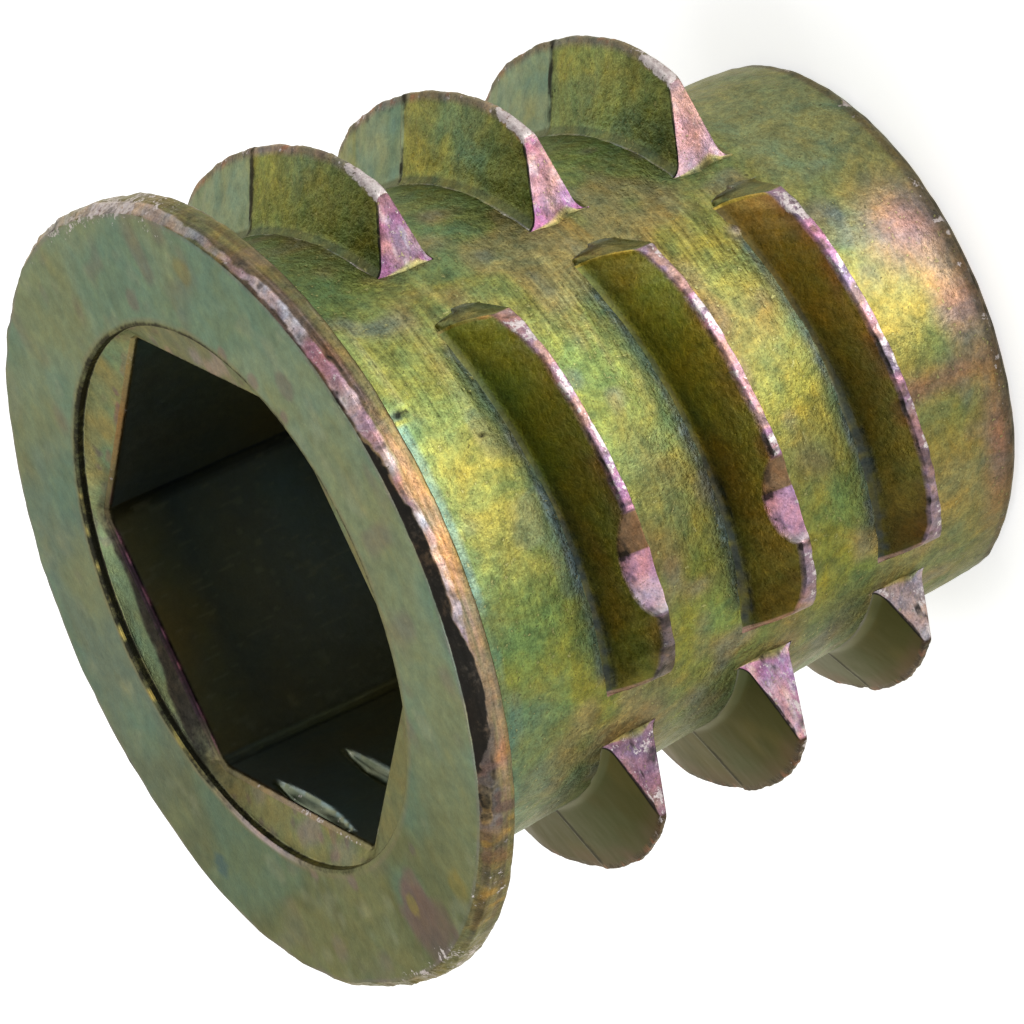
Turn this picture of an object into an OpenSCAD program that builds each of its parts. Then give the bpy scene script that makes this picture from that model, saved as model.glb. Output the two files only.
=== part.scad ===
// Threaded insert for wood and panel board, die cast in one piece.
// A hex driver in the flange's socket turns it in: the tapered body cuts its
// own way on a coarse, deep, interrupted thread, and a screw then goes into
// the tapped hole. It stands on its tip, flange up: Z = 0 is the tip face.
// The die opened along +Y and -Y, turned round Z by pull_turn.

/* [Flange] */
// Diameter of the flange
flange_d = 14.1; // [13.8:0.1:18]
// Thickness of the flange
flange_t = 0.66; // [0.5:0.02:1.2]
// Rounding of the flange's outer edges
flange_edge = 0.12; // [0.06:0.01:0.2]
// Diameter of the shallow round recess about the socket's mouth
recess_d = 9.7; // [9.6:0.05:11]
// Depth of that recess
recess_depth = 0.3; // [0.1:0.05:0.45]

/* [Body] */
// Height of the whole insert
overall_h = 12.7; // [12.3:0.1:16]
// Diameter of the tapered body where it meets the flange
neck_d = 11.25; // [10.9:0.05:12]
// Diameter of the tapered body at its tip
tip_d = 9.5; // [9:0.05:10]
// Rounding of the tip's rim
tip_edge = 0.15; // [0.1:0.05:0.5]
// Radius that blends the body into the flange
neck_blend = 0.2; // [0.1:0.05:0.4]

/* [Hex socket] */
// Size of the driver across its flats, with its clearance
socket_af = 8.1; // [7.9:0.05:8.2]
// Depth of the socket below the recess
socket_depth = 5; // [3.5:0.1:6]
// Turn of the socket from the die's parting line
socket_turn = 9.7; // [0:0.1:59]

/* [Tapped hole] */
// Diameter of the hole at the crests of its fine thread
bore_d = 6.6; // [6:0.05:7]
// Bevel at the hole's two ends
bore_bevel = 0.45; // [0.2:0.05:0.6]

/* [Outer thread] */
// Rise of the thread in one turn
pitch = 2.96; // [2.7:0.02:3.1]
// Depth of the first turn's upper root line below the flange's top, mid front
first_root_drop = 3.36; // [3.2:0.02:3.6]
// Width of a ridge at its root, along the axis
ridge_base = 0.95; // [0.8:0.05:1.2]
// Width of a ridge at its crest
ridge_crest = 0.13; // [0.1:0.01:0.25]
// How far a crest's upper edge lies below its root line
ridge_lean = 0.58; // [0.3:0.02:0.65]
// Diameter over the crests in the first turn
crest_d = 13.5; // [13:0.05:13.7]
// Diameter over the crests two turns lower
crest_low_d = 12.95; // [12.4:0.05:13.2]
// Share of its full depth that the thread keeps where it starts to run out
runout_keep = 0.68; // [0.4:0.02:1]
// Share of its full depth that the thread keeps on its last block
last_keep = 0.5; // [0.3:0.02:1]
// Small blend at a ridge's foot
foot_blend = 0.12; // [0.05:0.01:0.2]

/* [Thread blocks] */
// Width between a middle block's flat ends, carried back to the parting plane
block_w = 7.88; // [7:0.02:8]
// Draft on the middle block's two ends
block_draft = 7; // [3:0.5:10]
// How much lower the middle blocks' crests are
middle_drop = 0.15; // [0:0.01:0.3]
// How far a block's crest falls away at its two ends
end_drop = 0.28; // [0.05:0.01:0.4]
// Half angle of the blocks that cross the parting line, at their root
side_half = 37; // [33:0.5:39]
// Step between the two die halves along the axis
parting_step = 0.06; // [0.02:0.01:0.15]
// Turn of the die's pull direction round Z
pull_turn = -8; // [-30:1:30]

/* [Gate scars] */
// Length of the scar where a gate was broken off a crest
scar_len = 2.4; // [1.5:0.1:3]
// Width of the scar at its middle
scar_w = 0.45; // [0.3:0.05:0.6]
// Depth of its flat below the crest
scar_depth = 0.16; // [0.05:0.01:0.25]
// Angle from the block's middle to the scar
scar_turn = 14; // [8:1:18]

/* [Hidden] */
$fn = 96;
EPS = 0.01;
SINK = 0.3;              // how deep a ridge's foot is sunk into the body
STEP = 4;                // degrees between a ridge's cross-sections
LAST = 10;               // number of the last thread block, the first being -2
FULL = 7;                // last block of full depth
neck_h = overall_h - flange_t;
socket_floor = overall_h - recess_depth - socket_depth;

// Radius of the bare body at a height
function body_r(h) = (tip_d + (neck_d - tip_d) * h / neck_h) / 2;

// Height of the thread's upper root line p degrees on from the front's middle
function root_h(p) = overall_h - first_root_drop - pitch * p / 360;

// Full radius of the crests at that angle
function crest_r(p) = (crest_d - (crest_d - crest_low_d) * p / 720) / 2;

// Share of the full depth that block k keeps
function keep(k) = k <= FULL ? 1 : k < LAST ? runout_keep : last_keep;

// How far the crest of block k is below its full radius, s of the way to its end
function drop(k, s) =
    (k % 2 == 0 ? middle_drop : 0) + end_drop * pow(max(0, (abs(s) - 0.6) / 0.4), 2);

// Half angle of a block at radius r: flat, drafted ends on the middle blocks,
// flat ends square to the die's pull on the blocks that cross the parting line
function middle_half(r) =
    asin(min(0.98, block_w / 2 * cos(block_draft) / r)) - block_draft;
function side_half_at(r, r_root) =
    asin(min(0.98, r_root * sin(side_half) / r));

// How far along the gate scar an angle lies: 0 at its middle, 1 at its ends
function scar_u(k, p) =
    (k == 0 || k == 4) ? abs(p - 90 * k - scar_turn) * PI / 180 * crest_r(p) / (scar_len / 2) : 2;

// One cross-section of block k as [radius, height] pairs, at the angle p,
// s of the way from the block's middle to its end
function section(k, p, s) =
    let (
        shift = cos(p) < -0.02 ? -parting_step : 0,
        up = root_h(p) + shift,
        low = up - ridge_base,
        mid_r = body_r((up + low) / 2),
        full_r = crest_r(p),
        u = min(1, scar_u(k, p)),
        cut = drop(k, s) + scar_depth * (1 - u * u),
        top_r = mid_r + keep(k) * (full_r - cut - mid_r),
        blunt = ridge_crest + (ridge_base - ridge_crest) * drop(k, s) / (full_r - mid_r),
        wide = blunt + max(0, scar_w - blunt) * (1 - u * u),
        crest_mid = up - ridge_lean - ridge_crest / 2,
        up_r = body_r(up),
        low_r = body_r(low),
        f = foot_blend / (top_r - mid_r)
    )
    [
        [body_r(up + foot_blend) - SINK, up + foot_blend],
        [body_r(up + foot_blend) - EPS, up + foot_blend],
        [up_r + f * (top_r - up_r), up - f * (up - crest_mid - wide / 2)],
        [top_r, crest_mid + wide / 2],
        [top_r, crest_mid - wide / 2],
        [low_r + f * (top_r - low_r), low + f * (crest_mid - wide / 2 - low)],
        [body_r(low - foot_blend) - EPS, low - foot_blend],
        [body_r(low - foot_blend) - SINK, low - foot_blend]
    ];

// Point j of the row that lies the share s of the way from a block's middle
function row_point(k, s, j) =
    let (
        p0 = 90 * k,
        side = k % 2 != 0,
        r_root = body_r(root_h(p0) - ridge_base / 2),
        guess = p0 + s * (side ? side_half : middle_half(r_root)),
        r = section(k, guess, s)[j][0],
        half = side ? side_half_at(r, r_root) : middle_half(r),
        p = p0 + s * half,
        q = section(k, p, s)[j]
    )
    [q[0] * cos(-90 - p), q[0] * sin(-90 - p), q[1]];

// A block of the interrupted outer thread
module thread_block(k) {
    n = 2 * round(41 / STEP);
    points = [for (i = [0 : n]) for (j = [0 : 7]) row_point(k, 2 * i / n - 1, j)];
    skin = [
        for (i = [0 : n - 1]) for (j = [0 : 7])
            let (a = 8 * i + j, b = 8 * i + (j + 1) % 8)
            each [[a, b + 8, a + 8], [a, b, b + 8]]
    ];
    first = [for (j = [1 : 6]) [0, j + 1, j]];
    last = [for (j = [1 : 6]) [8 * n, 8 * n + j, 8 * n + j + 1]];
    polyhedron(points = points, faces = concat(skin, first, last));
}

// A quarter round from one angle to another as [radius, height] pairs
function round_edge(r, h, size, from, to) =
    [for (i = [0 : 3]) let (a = from + (to - from) * i / 3) [r + size * cos(a), h + size * sin(a)]];

// Flange and tapered body, solid
module blank() {
    rotate_extrude()
        polygon(concat(
            [[0, 0]],
            round_edge(body_r(tip_edge) - tip_edge, tip_edge, tip_edge, -90, 0),
            [[body_r(neck_h - neck_blend), neck_h - neck_blend]],
            [[body_r(neck_h) + neck_blend, neck_h]],
            round_edge(flange_d / 2 - flange_edge, neck_h + flange_edge, flange_edge, -90, 0),
            round_edge(flange_d / 2 - flange_edge, overall_h - flange_edge, flange_edge, 0, 90),
            [[0, overall_h]]
        ));
}

// Hex socket below its shallow round recess
module socket() {
    translate([0, 0, overall_h - recess_depth])
        cylinder(d = recess_d, h = recess_depth + 1);
    translate([0, 0, socket_floor])
        rotate([0, 0, socket_turn])
            cylinder(d = socket_af / cos(30), h = socket_depth + 1, $fn = 6);
}

// Tapped hole, its fine thread left off
module tapped_hole() {
    translate([0, 0, -1])
        cylinder(d = bore_d, h = socket_floor + 2);
    translate([0, 0, -EPS])
        cylinder(d1 = bore_d + 2 * bore_bevel, d2 = bore_d, h = bore_bevel);
    translate([0, 0, socket_floor - bore_bevel])
        cylinder(d1 = bore_d, d2 = bore_d + 2 * bore_bevel, h = bore_bevel + EPS);
}

module threaded_insert() {
    color([0.62, 0.58, 0.3])
        rotate([0, 0, pull_turn])
            difference() {
                union() {
                    blank();
                    for (k = [-2 : LAST])
                        thread_block(k);
                }
                socket();
                tapped_hole();
            }
}

threaded_insert();
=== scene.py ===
"""Threaded insert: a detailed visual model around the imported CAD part.

Lengths are in mm until make_mesh and angles in degrees. Colours are linear and in
thousandths. The angle th is 0 on the line of the body that faces the front, and grows
clockwise seen from above. Each piece is a grid of points that carries its own paint.
"""

import itertools
import math

import bpy
import numpy as np
from mathutils import Matrix, Vector


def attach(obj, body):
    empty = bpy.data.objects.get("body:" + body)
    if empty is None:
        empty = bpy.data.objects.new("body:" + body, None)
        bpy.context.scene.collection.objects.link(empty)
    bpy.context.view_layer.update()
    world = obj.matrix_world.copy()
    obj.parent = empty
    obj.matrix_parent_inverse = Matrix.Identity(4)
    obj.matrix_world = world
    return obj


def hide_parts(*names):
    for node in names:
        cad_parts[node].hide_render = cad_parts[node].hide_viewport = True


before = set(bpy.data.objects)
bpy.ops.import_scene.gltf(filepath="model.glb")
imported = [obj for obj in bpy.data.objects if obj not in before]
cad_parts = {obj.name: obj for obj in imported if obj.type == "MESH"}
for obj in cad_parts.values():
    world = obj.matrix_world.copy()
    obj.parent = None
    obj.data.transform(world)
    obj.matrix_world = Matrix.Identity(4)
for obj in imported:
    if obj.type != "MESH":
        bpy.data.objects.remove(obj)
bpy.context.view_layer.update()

MM = 0.001

# ---------------------------------------------------------------- sizes of the CAD part
H = 12.7
FLANGE_R = 7.05
NECK_H = H - 0.66
NECK_D = 11.25
TIP_D = 9.5
RECESS_R = 4.85
RECESS_DEPTH = 0.3
APOTHEM = 4.05
SOCKET_TURN = 1.7
SOCKET_FLOOR = 7.4
BORE_R = 3.3
BEVEL = 0.45
PITCH = 2.96
ROOT_DROP = 3.36
RIDGE_BASE = 0.95
RIDGE_CREST = 0.13
RIDGE_LEAN = 0.58
CREST_D = 13.5
CREST_LOW_D = 12.95
RUNOUT_KEEP = 0.68
LAST_KEEP = 0.5
BLOCK_W = 7.88
BLOCK_DRAFT = math.radians(7)
SIDE_HALF = math.radians(37)
MIDDLE_DROP = 0.15
END_DROP = 0.28
PARTING_STEP = 0.06
PULL_AZ = -98.0

# ---------------------------------------------------------------- sizes of the detail
CREST_WIDTH = 0.085             # the worn crest is thinner than the CAD part's
TIP_RIM = 0.19                  # height of the tip's rounded rim
BODY_R = 5.2                    # mean radii, for lengths round the body, the flange, the
FACE_MEAN_R = 5.6               # socket and the hole
SOCKET_MEAN_R = 4.2
HOLE_MEAN_R = 3.6
TAP_PITCH = 1.411
TAP_R = 4.01                    # reach of the off-centre tap's teeth
TAP_SHIFT = (0.27, 0.33)        # the tap's axis from the hole's, along and towards the flat
TAP_FLANK = math.radians(34)
TAP_AZ = -208.0                 # middle of the flat that the tap marked
TAP_Z = 12.2
THREAD_DEPTH = 0.66


def body_r(h):
    return (TIP_D + (NECK_D - TIP_D) * h / NECK_H) / 2


def root_h(p):
    return H - ROOT_DROP - PITCH * p / 360


def crest_r(p):
    return (CREST_D - (CREST_D - CREST_LOW_D) * p / 720) / 2


def cosd(a):
    return np.cos(np.radians(a))


def sind(a):
    return np.sin(np.radians(a))


# ---------------------------------------------------------------- noise and ramps
def _hash(ix, iy, iz, seed):
    n = (ix * 73856093) ^ (iy * 19349663) ^ (iz * 83492791) ^ (seed * 2654435)
    n = (n ^ (n >> 13)) & 0x7FFFFFFF
    n = (n * 1103515245 + 12345) & 0x7FFFFFFF
    n = (n ^ (n >> 11)) & 0x7FFFFFFF
    n = (n * 69069 + 1) & 0x7FFFFFFF
    return ((n >> 8) & 0xFFFF) / 32767.5 - 1.0


def noise(p, size, seed):
    """Smooth value noise between -1 and 1 with features about size mm across."""
    q = np.asarray(p, float) / size
    i = np.floor(q).astype(np.int64)
    f = q - i
    f = f * f * (3 - 2 * f)
    out = 0
    for corner in itertools.product((0, 1), repeat=3):
        wx, wy, wz = (f[..., n] if c else 1 - f[..., n] for n, c in enumerate(corner))
        out = out + wx * wy * wz * _hash(*(i[..., n] + c for n, c in enumerate(corner)), seed)
    return out


def noises(p, *kinds):
    """Several noises of the same points, each given by its size and seed."""
    return [noise(p, size, seed) for size, seed in kinds]


def smooth(a, b, x):
    """0 at a and beyond, 1 at b and beyond, whichever of the two is higher."""
    t = np.clip((np.asarray(x, float) - a) / (b - a), 0, 1)
    return t * t * (3 - 2 * t)


def between(a, b, c, d, x):
    """Rises from a to b and falls again from c to d."""
    return smooth(a, b, x) * smooth(d, c, x)


def bump(x, c, w):
    """A soft bell of half width w about c."""
    return np.exp(-(((np.asarray(x, float) - c) / w) ** 2))


# ---------------------------------------------------------------- paint
def plain(grid, *rgb):
    """A colour for every point of a grid."""
    return np.zeros(grid.shape + (3,)) + np.array(rgb) / 1000


def paint(col, *layers):
    """Lay colours over col in turn, each by an amount between 0 and 1, or by a mask."""
    for rgb, amount in layers:
        if isinstance(rgb, tuple):
            rgb = np.array(rgb) / 1000
        col = col + (rgb - col) * np.clip(np.asarray(amount, float), 0, 1)[..., None]
    return col


# ---------------------------------------------------------------- meshes
def make_mesh(name, points, faces, tint, wear, dark, grain, cyl, brushed):
    """An object from points in mm and quads, with its paint as point attributes."""
    mesh = bpy.data.meshes.new(name)
    mesh.from_pydata((points.reshape(-1, 3) * MM).tolist(), [], faces.tolist())
    mesh.polygons.foreach_set("use_smooth", np.ones(len(mesh.polygons), bool))
    n = len(mesh.vertices)

    def colour(key, rgb, alpha):
        data = np.ones((n, 4), np.float32)
        data[:, :3] = np.clip(rgb.reshape(-1, 3), 0, 1)
        data[:, 3] = np.clip(alpha.reshape(-1), 0, 1)
        attr = mesh.attributes.new(key, "FLOAT_COLOR", "POINT")
        attr.data.foreach_set("color", data.ravel())

    colour("tint", tint, np.ones(n))
    colour("marks", np.stack([wear, dark, grain], -1), brushed)
    attr = mesh.attributes.new("cyl", "FLOAT_VECTOR", "POINT")
    attr.data.foreach_set("vector", cyl.reshape(-1, 3).astype(np.float32).ravel())
    mesh.validate()
    mesh.update()
    obj = bpy.data.objects.new(name, mesh)
    bpy.context.scene.collection.objects.link(obj)
    return obj


def grid_faces(nu, nv, wrap_u=False, base=0, flip=False):
    """Quads of a grid of points, closed into a ring if wrap_u."""
    a, b = np.meshgrid(np.arange(nu if wrap_u else nu - 1), np.arange(nv - 1), indexing="ij")
    here, there = a * nv + b, (a + 1) % nu * nv + b
    q = np.stack([here, there, there + 1, here + 1], -1).reshape(-1, 4)
    return (q[:, ::-1] if flip else q) + base


def polar(r, az, z):
    return np.stack([r * cosd(az), r * sind(az), z + 0 * r], -1)


def theta_of(az):
    return (90.0 - np.asarray(az, float)) % 360.0 - 180.0


def azimuths(fine, coarse):
    """Azimuths all round, closer together over the front."""
    return np.concatenate([np.arange(-205.0, 35.0, fine), np.arange(35.0, 155.0, coarse)])


def arc(r, z, rad, a0, a1, n):
    """Profile rows round a corner."""
    turns = [a0 + (a1 - a0) * k / n for k in range(n + 1)]
    return [(r + rad * cosd(a), z + rad * sind(a), 1) for a in turns]


def profile(rows):
    """Points (r, z) through rows that give a corner and the steps that lead to it."""
    out = [rows[0][:2]]
    for (r0, z0, _), (r1, z1, n) in zip(rows, rows[1:]):
        out += [(r0 + (r1 - r0) * k / n, z0 + (z1 - z0) * k / n) for k in range(1, n + 1)]
    return np.array(out)


def turned(prof, az):
    """Grids of azimuth, radius and height of a profile turned round the axis."""
    A, R = np.meshgrid(az, prof[:, 0], indexing="ij")
    return A, R, prof[:, 1] + 0 * R


# ---------------------------------------------------------------- flange
# how far the cast disc's edge is off round, as angle and distance
OFF_ROUND = (
    (-180, 0.05), (-160, 0.04), (-140, 0.07), (-130, 0.115), (-110, 0.09), (-100, 0.045),
    (-90, -0.037), (-80, -0.05), (-70, 0), (50, 0), (60, 0.025), (80, 0), (92, -0.06),
    (102, -0.06), (110, 0.06), (130, 0.14), (142, 0.135), (152, 0.09), (162, 0.04), (180, 0.05),
)
# dents in the face: angle, radius, size, depth
DENTS = (
    (-33, 5.65, 0.10, 0.02), (-30, 5.95, 0.08, 0.02), (-62, 6.3, 0.12, 0.02),
    (170, 5.6, 0.12, 0.015), (150, 5.2, 0.1, 0.015), (98, 5.6, 0.1, 0.02),
)
# spots on the face: angle, radius, size, amount, colour
SPOTS = (
    (73.0, 5.75, 0.42, 0.75, (148, 98, 86)),
    (75.5, 6.10, 0.66, 0.85, (148, 98, 86)),
    (74.0, 6.45, 0.66, 0.85, (135, 94, 80)),
    (76.5, 6.75, 0.50, 0.75, (115, 85, 72)),
    (77.0, 5.9, 0.16, 0.8, (200, 160, 50)),
    (66.0, 5.37, 0.14, 0.6, (120, 100, 90)),
    (141.3, 6.32, 0.2, 0.8, (48, 105, 112)),
    (60, 6.5, 0.35, 0.45, (220, 170, 30)),
    (-58, 6.2, 0.3, 0.5, (220, 170, 50)),
    (-29, 5.7, 0.3, 0.5, (160, 110, 100)),
    (-78, 5.3, 0.22, 0.5, (170, 120, 110)),
    (-28, 5.1, 0.16, 0.7, (200, 145, 125)),
    (-38, 5.05, 0.18, 0.7, (200, 145, 125)),
    (-48, 5.0, 0.15, 0.7, (200, 145, 125)),
    (95, 5.05, 0.2, 0.7, (200, 145, 125)),
    (110, 5.0, 0.15, 0.7, (200, 145, 125)),
)


def flange_profile():
    neck = body_r(NECK_H)
    lip = arc(RECESS_R + 0.05, H - 0.05, 0.05, 180, 90, 4)
    return profile(
        [(RECESS_R, H - RECESS_DEPTH, 1), (*lip[0][:2], 3)]
        + lip[1:]
        + [
            (FLANGE_R - 0.3, H, 26),
            (FLANGE_R - 0.15, H, 5),
            (FLANGE_R - 0.125, H - 0.015, 1),
            (FLANGE_R - 0.025, H - 0.15, 6),
            (FLANGE_R - 0.002, H - 0.19, 2),
            (FLANGE_R, H - 0.36, 7),
            (FLANGE_R - 0.01, NECK_H + 0.1, 8),
        ]
        + arc(FLANGE_R - 0.11, NECK_H + 0.1, 0.1, 0, -90, 4)[1:]
        + [(neck + 0.2, NECK_H, 5)]
        + arc(neck + 0.2, NECK_H - 0.2, 0.2, 90, 180, 5)[1:]
        + [(body_r(NECK_H - 0.5) - 0.03, NECK_H - 0.5, 3)]
    )


def flange_piece():
    """Recess lip, face, worn edge and neck of the flange."""
    prof = flange_profile()
    tan = np.gradient(prof, axis=0)
    out_r, out_z = (np.array((-tan[:, 1], tan[:, 0])) / np.hypot(*tan.T))[:, None]
    A, R, Z = turned(prof, azimuths(0.33, 1.2))
    P = polar(R, A, Z)
    th = theta_of(A)
    face = (np.abs(Z - H) < 0.02) & (R < FLANGE_R - 0.13)
    rim = (R > FLANGE_R - 0.14) & (Z > NECK_H - 0.01) & ~face
    below = Z < NECK_H + 0.01
    wob, wob2, wob3, fine, dust = noises(P, (0.5, 11), (1.4, 12), (3.0, 14), (0.2, 13), (0.1, 18))

    def away(t0, r0):
        """Distance across the face from the point at angle t0 and radius r0."""
        return np.hypot(R * cosd(th) - r0 * cosd(t0), R * sind(th) - r0 * sind(t0))

    def along(*pairs):
        """Values given at angles round the edge."""
        return np.interp(th, pairs[0::2], pairs[1::2])

    d = 0.005 * noise(P, 1.6, 1) + 0.004 * noise(P, 0.7, 2) + 0.003 * fine
    ragged = 0.012 * noise(P, 0.45, 4) + 0.014 * noise(P, 0.22, 5) + 0.010 * dust
    ragged = ragged * (0.6 + 0.9 * bump(th, -80, 35) + 0.6 * bump(th, 85, 30))
    d = np.where(rim, 0.004 + ragged * np.where(Z > H - 0.3, 1.0, 0.6), d)
    d = d - bump(R, FLANGE_R - 0.1, 0.1) * (Z > H - 0.25) * (0.012 + 0.02 * wob)
    for t0, r0, size, depth in DENTS:
        d = d - bump(away(t0, r0), 0, size) * depth * face
    d = np.where((R < RECESS_R + 0.01) | (below & (R < 6.2)), 0, d)
    shift = (0.05 * cosd(th - 130) + np.interp(th, *zip(*OFF_ROUND))) * smooth(5.9, 6.85, R)
    moved = polar(R + shift + d * out_r, A, Z + d * out_z)

    # face: green, olive and lilac clouds, browner towards the bottom
    tint = paint(
        plain(R, 182, 238, 150),
        ((98, 134, 102), smooth(0.1, 0.9, cosd(th - 158)) * 0.8),
        ((112, 124, 54), smooth(0.2, 0.95, cosd(th - 100)) * 0.95),
        ((185, 198, 90), smooth(0.0, 0.55, wob2 + 0.5 * wob) * 0.5),
        ((100, 185, 130), smooth(0.0, 0.55, -wob2 + 0.5 * wob3) * 0.5),
        ((165, 135, 115), smooth(0.3, 0.7, wob * 0.7 + 0.5 * wob3) * 0.5),
        ((230, 240, 150), smooth(0.25, 0.7, -wob + 0.4 * fine) * 0.35),
    )
    lift = 0.12 * smooth(0.88, 0.99, cosd(th - 185))
    tint = tint * (1 + 0.10 * fine + 0.08 * dust + lift)[..., None]
    unrest = 0.30 * wob + 0.25 * fine + 0.15 * wob2
    for t0, r0, size, amount, rgb in SPOTS:
        spot = smooth(size * 1.1, size * 0.6, away(t0, r0) + size * unrest)
        tint = paint(tint, (rgb, spot * face * amount))
    # lilac line round the face's outer edge
    line = bump(R, FLANGE_R - 0.17, 0.035) * face
    tint = paint(tint, ((210, 165, 165), line * (0.35 + 0.4 * wob)))

    # the edge: e runs from the face's edge down to the flange's underside
    e = H - Z + 0.030 * wob + 0.028 * fine + 0.020 * dust
    streaks = noise(np.stack([th * 0.04, Z * 12.0, 0 * R], -1), 0.5, 15)
    streaks2 = noise(np.stack([th * 0.08, Z * 20.0, 0 * R + 9], -1), 0.5, 16)
    olive = paint(
        plain(R, 158, 142, 56),
        ((115, 95, 45), smooth(-0.1, 0.6, streaks)),
        ((200, 150, 125), smooth(0.2, 0.6, wob) * 0.35),
    )
    umber = paint(plain(R, 105, 68, 50), ((200, 135, 110), smooth(0.1, 0.7, streaks2)))
    amber = paint(
        plain(R, 300, 195, 105),
        ((400, 250, 155), smooth(-0.2, 0.6, streaks)),
        ((170, 140, 70), smooth(0.2, 0.7, streaks2) * 0.75),
        ((340, 155, 105), along(24, 0, 30, 0.7, 38, 0.7, 44, 0) * smooth(-0.3, 0.3, wob2 + wob)),
    )
    pink = paint(
        plain(R, 460, 330, 320),
        ((360, 170, 240), smooth(-0.1, 0.4, wob) * along(-50, 0.3, -30, 0.9, -10, 0.5, 2, 0.4)),
        ((460, 185, 300), along(5, 0, 10, 0.75, 18, 0.9) * smooth(-0.4, 0.2, wob2)),
        ((600, 520, 500), smooth(0.05, 0.45, -wob + 0.6 * fine) * along(4, 0.8, 10, 0.35)),
        ((400, 340, 130), along(-14, 0, -9, 0.7, -4, 0.5, 2, 0) * smooth(0.24, 0.30, e)),
        ((300, 290, 260), along(-100, 0.6, -60, 0.4, -50, 0)),
    )
    # how far down the edge the painted dark reflection and the worn band reach, and where colours
    # show
    dark_reflection_to = along(-14, 0.0, -9, 0.10, -2, 0.17, 10, 0.18, 14, 0.13, 17, 0.24, 20, 0.31,
                     25, 0.32, 31, 0.27, 34, 0.12, 37, 0.0)
    worn_from = along(-60, 0.0, -48, 0.07, -36, 0.05, -16, 0.03, -9, 0.12, -2, 0.18, 10, 0.19,
                      14, 0.14, 17, 0.25, 20, 0.34)
    worn_to = along(-66, 0.24, -58, 0.15, -42, 0.17, -33, 0.23, -20, 0.27, -9, 0.31, 0, 0.32,
                    10, 0.34, 15, 0.33, 18, 0.30, 20, 0.34)
    worn = along(-180, 0.0, -125, 0.0, -112, 0.5, -80, 0.9, -62, 0.7, -52, 0.5, -42, 0.85,
                 -20, 1.0, 12, 1.0, 20, 0.8, 26, 0.0) * rim
    worn = worn * between(worn_from - 0.015, worn_from + 0.015, worn_to - 0.02, worn_to + 0.02, e)
    browned = along(-60, 0, -48, 0.35, -38, 0.9, -18, 1.0, -12, 0.25, -6, 0.0, 20, 0.0,
                    34, 0.25, 60, 0.2, 80, 0)
    gilt = along(-15, 0, -9, 0.8, -3, 1.0, 12, 1.0, 24, 0.9, 36, 0.85, 43, 0.2, 50, 0.0)
    band = paint(
        olive,
        (umber, browned * (1 - 0.75 * smooth(worn_to + 0.12, worn_to + 0.22, e))),
        (amber, gilt * (1 - 0.7 * smooth(0.50, 0.60, e))),
    )
    # painted dark reflection: a near-black band at the top of the rounded edge, over the front
    dark_reflection = smooth(dark_reflection_to + 0.02, dark_reflection_to - 0.02, e) * smooth(0.0, 0.03, dark_reflection_to) * rim
    # past the painted dark reflection the edge is stained in specks, and grey where the two meet
    mott = rim * along(31, 0, 35, 0.95, 44, 0.9, 50, 0) * smooth(0.36, 0.28, e)
    grey = rim * along(26, 0, 31, 0.85, 38, 0.35, 46, 0) * smooth(0.40, 0.30, e)
    tint = paint(
        tint,
        (band, rim),
        (pink, worn * (1 - 0.55 * smooth(0.35, 0.6, fine + 0.5 * dust))),
        ((75, 64, 55), dark_reflection * 0.9),
        ((105, 78, 64), mott),
        ((190, 90, 68), mott * smooth(0.1, 0.5, wob + 0.4 * dust) * 0.7),
        ((240, 200, 180), mott * smooth(0.3, 0.6, -wob + 0.5 * fine) * 0.5),
        ((100, 92, 82), grey * smooth(dark_reflection_to - 0.05, dark_reflection_to, e)),
        # gold and rust flecks low on the edge
        ((300, 190, 50), rim * bump(th, 52, 14) * smooth(0.2, 0.5, fine) * 0.75),
        ((130, 75, 55), rim * bump(th, 44, 10) * smooth(0.2, 0.5, -fine) * 0.75),
        # underside and neck
        ((260, 270, 100), below & (R < FLANGE_R - 0.1)),
    )
    # silver where it rubs at top and bottom
    silver = np.clip(bump(th, -82, 22) + bump(th, 76, 20), 0, 1)
    near_edge = np.clip(face * smooth(FLANGE_R - 0.55, FLANGE_R - 0.15, R) + rim, 0, 1)
    wear = along(4, 0.30, 9, 0.02) * worn * smooth(-0.2, 0.4, wob + fine)
    wear = wear + 0.46 * silver * near_edge * smooth(-0.3, 0.3, wob2 + 0.5 * wob)
    # a broken dark line between face and edge where the painted dark reflection isn't
    edge_line = bump(H - Z, 0.02, 0.02) * (rim | (R > FLANGE_R - 0.2) & face)
    edge_line = edge_line * along(-60, 0.2, -40, 0.45, -16, 0.6, -10, 0.3, 40, 0.2, 60, 0.1)
    # painted shade in the corner where the flange's underside meets the neck
    neck_corner_shade = bump(Z, NECK_H + 0.02, 0.04) * (Z < NECK_H + 0.03) * (R > 5.6) * (R < 5.95)
    dark = (
        0.80 * dark_reflection * (0.85 + 0.25 * wob)
        + 0.35 * smooth(0.25, 0.55, noise(P, 0.16, 19)) * worn
        + mott * smooth(0.15, 0.5, fine + 0.4 * dust) * 0.45
        + edge_line * (0.4 + 0.9 * smooth(-0.1, 0.4, fine))
        + 0.5 * rim * browned * bump(e, worn_to + 0.06, 0.035) * smooth(0.0, 0.4, wob + streaks2)
        + 0.5 * neck_corner_shade
    )
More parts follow.
